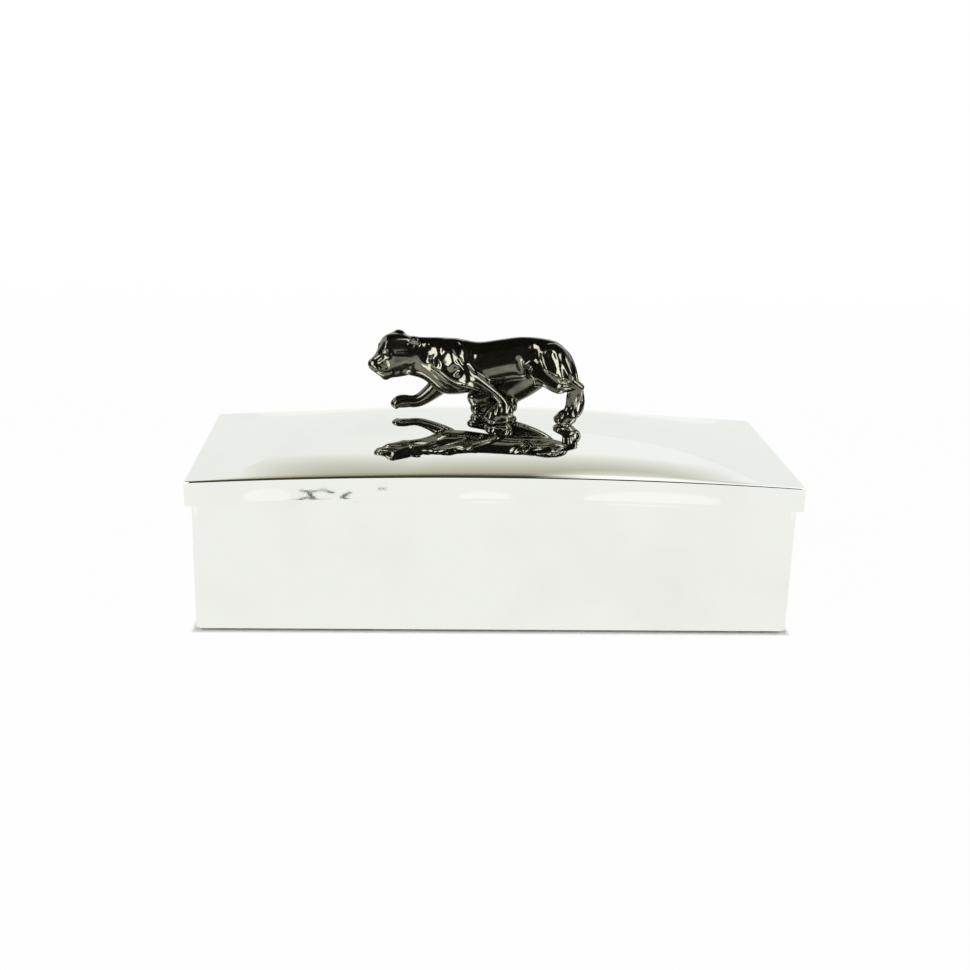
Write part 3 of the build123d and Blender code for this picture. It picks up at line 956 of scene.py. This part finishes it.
# The plane to which the soles are filed: its place on the cat, its drop there, its fall to the tail
sole_share = 0.6
sole_drop = 0.0002
sole_fall = 0.0224


def chase(mesh):
    """Muscles, planes, furrows and the face, worked into the skin."""
    work = Chasing(mesh)
    head_only = work.head[:, 0] < head_end_share
    for sign in (-1, 1):
        for back, side, up, *radii, height in muscle_shares:
            work.swell(work.body, (back, sign * side, up), radii, height)
        for back, side, up, *radii, height in head_swell_shares:
            work.swell(work.head, (back, sign * side, up), radii, height)
        face = side_mask(work.head, work.head_normals, sign) * head_only
        for half_width, depth, path in head_furrow_shares:
            work.furrow(work.head, path, half_width, depth, face)
    back, side, up, *radii, height = near_ear_cup_shares
    work.swell(work.head, (back, side, up), radii, height)
    work.apply()
    near = side_mask(work.body, work.normals, -1)
    for row in plane_shares:
        work.flatten(work.body, row, 0, near)
    near = side_mask(work.head, work.head_normals, -1) * (work.head[:, 0] < head_end_share)
    for row in head_plane_shares:
        work.flatten(work.head, row, head_turn, near)
    work.refresh()
    near = side_mask(work.body, work.normals, -1)
    for half_width, depth, path in body_furrow_shares:
        work.furrow(work.body, path, half_width, depth, near)
    work.apply()


def make_cat():
    casting = run_together(make_cat_forms())
    chase(casting)
    bm = bmesh.new()
    bm.from_mesh(casting)
    bpy.data.meshes.remove(casting)
    for _ in range(chased_smoothing):
        bmesh.ops.smooth_vert(
            bm, verts=bm.verts[:], factor=0.5, use_axis_x=True, use_axis_y=True, use_axis_z=True
        )
    everything = bm.verts[:] + bm.edges[:] + bm.faces[:]
    sole = cat_point(sole_share, 0, 0)
    sole.z -= sole_drop
    cut = bmesh.ops.bisect_plane(
        bm, geom=everything, plane_co=sole, plane_no=(sole_fall, 0, 1), clear_inner=True, dist=hair
    )
    rim = [e for e in cut["geom_cut"] if isinstance(e, bmesh.types.BMEdge)]
    bmesh.ops.holes_fill(bm, edges=rim)
    return add_piece("cat", bm, "lid", make_black_nickel(), "cat_figure")


nickel_colour = (0.215, 0.209, 0.168, 1)
nickel_dark_colour = (0.120, 0.115, 0.091, 1)
haze_waves = 160
haze_range = (0.35, 0.75)
polish_waves = 1500
polish_range = (0.3, 0.8)
polish_roughness = (0.12, 0.20)
polish_depth = 0.000004


def make_black_nickel():
    """Dark bright plating with darker clouds and a thin polish haze."""
    material, shader, place = new_material("black_nickel", Metallic=1.0)
    haze = cloud(material, place, haze_waves, detail=4)
    fine = cloud(material, place, polish_waves, detail=4)
    two_tones(material, shader, haze, haze_range, nickel_colour, nickel_dark_colour)
    polish = ramp(material, fine, *polish_range, *polish_roughness)
    material.node_tree.links.new(polish, shader.inputs["Roughness"])
    bump(material, shader, fine, polish_depth)
    return material


make_cat()

# Floor, lamps and camera
# A white sheet for the box to stand on, two softboxes for light and the cat's highlights, a room of pale
# boards and cards that glow for the silver alone, and the photograph's own viewpoint.

floor_size = 12.0
floor_colour = (0.90, 0.90, 0.89, 1)
floor_lift = 0.97
floor_white_from = 0.2
floor_white_at = 0.8
shadow_half_length = 0.1085
shadow_half_width = 0.0455
shadow_fade = 0.0012
sky_edge = (0.76, 0.86)
behind_edge = (-0.15, 0.25)
dark_colour = (0.035, 0.034, 0.027, 1)
pale_colour = (0.90, 0.91, 0.88, 1)
board_colour = (0.86, 0.875, 0.85, 1)
dull_colour = (0.05, 0.048, 0.040, 1)
white = (1, 1, 1, 1)
lamp_aim = (0, 0, 0.08)
board_aim = (0, 0, 0.1)
# Softboxes as (place, width, height, power) and boards as (place, width, height)
softboxes = {
    "softbox_left": ((-0.85, -0.68, 0.66), 0.56, 1.10, 8.4),
    "softbox_right": ((0.95, -0.52, 0.62), 0.44, 1.00, 6.2),
}
boards = {
    "board_front": ((0, -1.6, 0.30), 4.0, 0.6),
    "board_left": ((-1.8, 0, 0.40), 3.0, 0.8),
    "board_right": ((1.8, 0, 0.40), 3.0, 0.8),
}


def make_floor():
    """A sheet that is white to the camera but for the box's contact shadow, and pale to mirrors."""
    bm = bmesh.new()
    bmesh.ops.create_grid(bm, x_segments=1, y_segments=1, size=floor_size / 2)
    material, shader, place = new_material("white_sheet", Roughness=0.9)
    shader.inputs["Base Color"].default_value = floor_colour
    shader.inputs["Specular IOR Level"].default_value = 0
    tree = material.node_tree
    output = next(node for node in tree.nodes if node.type == "OUTPUT_MATERIAL")
    split = new_node(material, "ShaderNodeSeparateXYZ")
    tree.links.new(place, split.inputs[0])
    beyond = []
    for axis, half in enumerate((shadow_half_length, shadow_half_width)):
        away = calculate(material, "ABSOLUTE", split.outputs[axis])
        beyond.append(calculate(material, "SUBTRACT", away, half))
    beyond = calculate(material, "MAXIMUM", *beyond)
    near_lift = ramp(material, beyond, 0, shadow_fade, 0, floor_lift)
    far_lift = ramp(material, beyond, floor_white_from, floor_white_at, 0, 1 - floor_lift)
    lift = calculate(material, "ADD", near_lift, far_lift)
    path = new_node(material, "ShaderNodeLightPath")
    shader_below = shader.outputs[0]
    for ray, colour in (("Is Glossy Ray", pale_colour), ("Is Camera Ray", white)):
        glow = new_node(material, "ShaderNodeEmission", {"Color": colour, "Strength": 1.0})
        mix = new_node(material, "ShaderNodeMixShader")
        tree.links.new(calculate(material, "MULTIPLY", path.outputs[ray], lift), mix.inputs[0])
        tree.links.new(shader_below, mix.inputs[1])
        tree.links.new(glow.outputs[0], mix.inputs[2])
        shader_below = mix.outputs[0]
    tree.links.new(shader_below, output.inputs[0])
    add_object("floor", bm, material)


def make_world():
    """White to the camera; to mirrors, pale behind the box up to a steep height, and dark elsewhere."""
    world = bpy.data.worlds.new("studio")
    bpy.context.scene.world = world
    world.use_nodes = True
    tree = world.node_tree
    tree.nodes.clear()
    output = new_node(world, "ShaderNodeOutputWorld")
    place = new_node(world, "ShaderNodeTexCoord")
    split = new_node(world, "ShaderNodeSeparateXYZ")
    path = new_node(world, "ShaderNodeLightPath")
    tree.links.new(place.outputs["Generated"], split.inputs[0])
    low = ramp(world, split.outputs["Z"], *sky_edge, 1, 0, interpolation_type="SMOOTHSTEP")
    behind = ramp(world, split.outputs["Y"], *behind_edge, interpolation_type="SMOOTHSTEP")
    mirrored = blend_colours(world, calculate(world, "MULTIPLY", low, behind), dark_colour, board_colour)
    dim = new_node(world, "ShaderNodeBackground", {"Strength": 1.0})
    bright = new_node(world, "ShaderNodeBackground", {"Color": white, "Strength": 1.0})
    seen = new_node(world, "ShaderNodeMixShader")
    tree.links.new(mirrored, dim.inputs["Color"])
    tree.links.new(path.outputs["Is Camera Ray"], seen.inputs[0])
    tree.links.new(dim.outputs[0], seen.inputs[1])
    tree.links.new(bright.outputs[0], seen.inputs[2])
    tree.links.new(seen.outputs[0], output.inputs[0])


def aimed(place, target):
    """A place turned so that its -Z looks at the target."""
    aim = (Vector(target) - Vector(place)).to_track_quat("-Z", "Y")
    return Matrix.Translation(place) @ aim.to_matrix().to_4x4()


def add_softbox(name, place, width, height, power):
    lamp = bpy.data.lights.new(name, "AREA")
    lamp.shape = "RECTANGLE"
    lamp.size = width
    lamp.size_y = height
    lamp.energy = power
    softbox = bpy.data.objects.new(name, lamp)
    bpy.context.scene.collection.objects.link(softbox)
    softbox.matrix_world = aimed(place, lamp_aim)


def add_silver_card(name, bm, material):
    """A sheet whose glow reaches the silver alone. It casts no shadow and the camera doesn't see it."""
    card = add_object(name, bm, material)
    card.visible_camera = False
    card.visible_diffuse = False
    card.visible_shadow = False
    card.light_linking.receiver_collection = silver_pieces


def make_glow(name, colour):
    """A card's glow for the silver, over the dull tone in which the dark cat mirrors it."""
    material = bpy.data.materials.new(name)
    material.use_nodes = True
    material.node_tree.nodes.clear()
    glow = new_node(material, "ShaderNodeEmission", {"Color": colour, "Strength": 1.0})
    dull = new_node(material, "ShaderNodeBsdfDiffuse", {"Color": dull_colour})
    both = new_node(material, "ShaderNodeAddShader")
    output = new_node(material, "ShaderNodeOutputMaterial")
    material.node_tree.links.new(glow.outputs[0], both.inputs[0])
    material.node_tree.links.new(dull.outputs[0], both.inputs[1])
    material.node_tree.links.new(both.outputs[0], output.inputs[0])
    return material, glow


def add_board(name, place, width, height):
    """A pale board turned towards the box."""
    bm = bmesh.new()
    matrix = aimed(place, board_aim) @ Matrix.Diagonal((width / 2, height / 2, 1, 1))
    bmesh.ops.create_grid(bm, x_segments=1, y_segments=1, size=1, matrix=matrix)
    add_silver_card(name, bm, make_glow(name, board_colour)[0])


ceiling_height = 2.0
ceiling_half_length = 1.8
ceiling_front = -1.2
ceiling_back = 3.2
olive_colour = (0.34, 0.325, 0.205, 1)
pale_left_colour = (0.835, 0.845, 0.820, 1)
pale_right_colour = (0.895, 0.910, 0.890, 1)
deep_colour = (0.030, 0.028, 0.018, 1)
# Curves over the slope x: factors of its square and of itself, and the slope y at its middle
shade_bow, shade_middle = 1.9, 0.745
shade_left_rise, shade_left_start = -1.25, -0.06
panel_bow, panel_lean, panel_middle = 1.3, 0.7, 0.40
# Slopes between which one tone fades into the next
shade_fade = (-0.28, 0.05)
deep_fade = (0.30, 0.50)
panel_fade = (-0.04, 0.07)
panel_side_fade = (0.10, 0.17)
across_fade = (-0.4, 0.4)


def add_ceiling():
    """The room above as the lid shows it: pale at the back, then an olive shade along a bowed line,
    a white panel to the right of it, and dark overhead and to the front. Slopes are y or x over z."""
    bm = bmesh.new()
    size = Matrix.Diagonal((ceiling_half_length, (ceiling_back - ceiling_front) / 2, 1, 1))
    matrix = Matrix.Translation((0, (ceiling_back + ceiling_front) / 2, ceiling_height)) @ size
    bmesh.ops.create_grid(bm, x_segments=1, y_segments=1, size=1, matrix=matrix)
    material, glow = make_glow("ceiling", board_colour)
    place = new_node(material, "ShaderNodeTexCoord")
    split = new_node(material, "ShaderNodeSeparateXYZ")
    material.node_tree.links.new(place.outputs["Object"], split.inputs[0])
    slope_x = calculate(material, "DIVIDE", split.outputs[0], ceiling_height)
    slope_y = calculate(material, "DIVIDE", split.outputs[1], ceiling_height)
    square = calculate(material, "MULTIPLY", slope_x, slope_x)
    bow = calculate(material, "MULTIPLY_ADD", square, shade_bow, shade_middle)
    left = calculate(material, "MULTIPLY_ADD", slope_x, shade_left_rise, shade_left_start)
    shade_edge = calculate(material, "ADD", bow, calculate(material, "MAXIMUM", left, 0))
    shade = ramp(material, calculate(material, "SUBTRACT", slope_y, shade_edge), *shade_fade, 1, 0)
    deep = ramp(material, slope_y, *deep_fade, 1, 0)
    bow = calculate(material, "MULTIPLY_ADD", square, panel_bow, panel_middle)
    panel_edge = calculate(material, "MULTIPLY_ADD", slope_x, panel_lean, bow)
    panel = ramp(material, calculate(material, "SUBTRACT", panel_edge, slope_y), *panel_fade)
    right = ramp(material, slope_x, *panel_side_fade)
    pale = blend_colours(material, ramp(material, slope_x, *across_fade), pale_left_colour, pale_right_colour)
    colour = blend_colours(material, shade, pale, olive_colour)
    colour = blend_colours(material, deep, colour, deep_colour)
    colour = blend_colours(material, calculate(material, "MULTIPLY", panel, right), colour, white)
    material.node_tree.links.new(colour, glow.inputs["Color"])
    add_silver_card("ceiling", bm, material)


table_half_size = 0.34
table_rim_half_size = 5.0
card_lift = 0.0005
card_segments = 48


def add_table_rim():
    """The far part of the table, pale in the silver and dull in the cat."""
    bm = bmesh.new()
    rings = []
    for half in (table_half_size, table_rim_half_size):
        matrix = Matrix.Translation((0, 0, card_lift / 2))
        rings.append(bmesh.ops.create_circle(bm, segments=card_segments, radius=half, matrix=matrix)["verts"])
    edges = {edge for ring in rings for vert in ring for edge in vert.link_edges}
    bmesh.ops.bridge_loops(bm, edges=list(edges))
    add_silver_card("table_rim", bm, make_glow("table_rim", pale_colour)[0])


# Painted reflections for the band: thin dark marks and pale ovals on the table before the box, as cards that
# glow for the silver alone
dark_reflection_paths = [
    [(-0.0835, -0.2150), (-0.0785, -0.2130), (-0.0730, -0.2165), (-0.0675, -0.2110)],
    [(-0.0875, -0.1950), (-0.0800, -0.2040), (-0.0735, -0.2000), (-0.0680, -0.2000)],
    [(-0.0800, -0.2130), (-0.0762, -0.2020)],
    [(-0.0560, -0.1965), (-0.0635, -0.2055), (-0.0600, -0.2130)],
    [(-0.0465, -0.2190), (-0.0430, -0.2190)],
]
dark_reflection_width = 0.0011
# Glow colours of the painted reflections, dark marks and pale ovals
dark_reflection_colour = (0.075, 0.095, 0.070, 1)
pale_reflection_colour = (0.925, 0.935, 0.910, 1)
pale_reflection_ovals = [
    ((-0.0985, -0.2060), (0.0110, 0.0110)),
    ((0.0040, -0.2060), (0.0125, 0.0110)),
    ((0.0830, -0.2050), (0.0330, 0.0130)),
]


# Cards that the camera doesn't see, glowing for the silver alone: painted reflections in the band
def add_reflection_marks():
    material = make_glow("dark_reflection_marks", dark_reflection_colour)[0]
    bm = bmesh.new()
    for path in dark_reflection_paths:
        for start, end in zip(path, path[1:]):
            line = Vector(end) - Vector(start)
            middle = Vector(((start[0] + end[0]) / 2, (start[1] + end[1]) / 2, card_lift))
            turn = Matrix.Rotation(line.angle_signed(Vector((1, 0))), 4, "Z")
            size = Matrix.Diagonal((line.length / 2 + dark_reflection_width / 3, dark_reflection_width, 1, 1))
            matrix = Matrix.Translation(middle) @ turn @ size
            bmesh.ops.create_grid(bm, x_segments=1, y_segments=1, size=1, matrix=matrix)
    add_silver_card("dark_reflection_marks", bm, material)
    material = make_glow("pale_reflection_ovals", pale_reflection_colour)[0]
    bm = bmesh.new()
    for (x, y), (half_x, half_y) in pale_reflection_ovals:
        matrix = Matrix.Translation((x, y, card_lift)) @ Matrix.Diagonal((half_x, half_y, 1, 1))
        bmesh.ops.create_circle(bm, cap_ends=True, segments=card_segments, radius=1, matrix=matrix)
    add_silver_card("pale_reflection_ovals", bm, material)


silver_pieces = bpy.data.collections.new("silver_pieces")
for piece in (walls, lid_band, lid_top, base_plate):
    silver_pieces.objects.link(piece)
make_floor()
make_world()
for name, values in softboxes.items():
    add_softbox(name, *values)
for name, values in boards.items():
    add_board(name, *values)
add_ceiling()
add_table_rim()
add_reflection_marks()

camera_place = (-0.0296, -0.5150, 0.2046)
camera_yaw = radians(3.04)
camera_pitch = radians(17.47)
camera_roll = radians(1.53)
camera_focal_pixels = 1397.6
frame_pixels = 970
sensor_width = 36.0
camera_data = bpy.data.cameras.new("camera")
camera_data.sensor_width = sensor_width
camera_data.lens = sensor_width * camera_focal_pixels / frame_pixels
camera_data.clip_start = 0.01
camera = bpy.data.objects.new("camera", camera_data)
bpy.context.scene.collection.objects.link(camera)
camera.matrix_world = (
    Matrix.Translation(camera_place)
    @ Matrix.Rotation(-camera_yaw, 4, "Z")
    @ Matrix.Rotation(radians(90) - camera_pitch, 4, "X")
    @ Matrix.Rotation(camera_roll, 4, "Z")
)
bpy.context.scene.camera = camera
bpy.context.scene.view_settings.view_transform = "Standard"
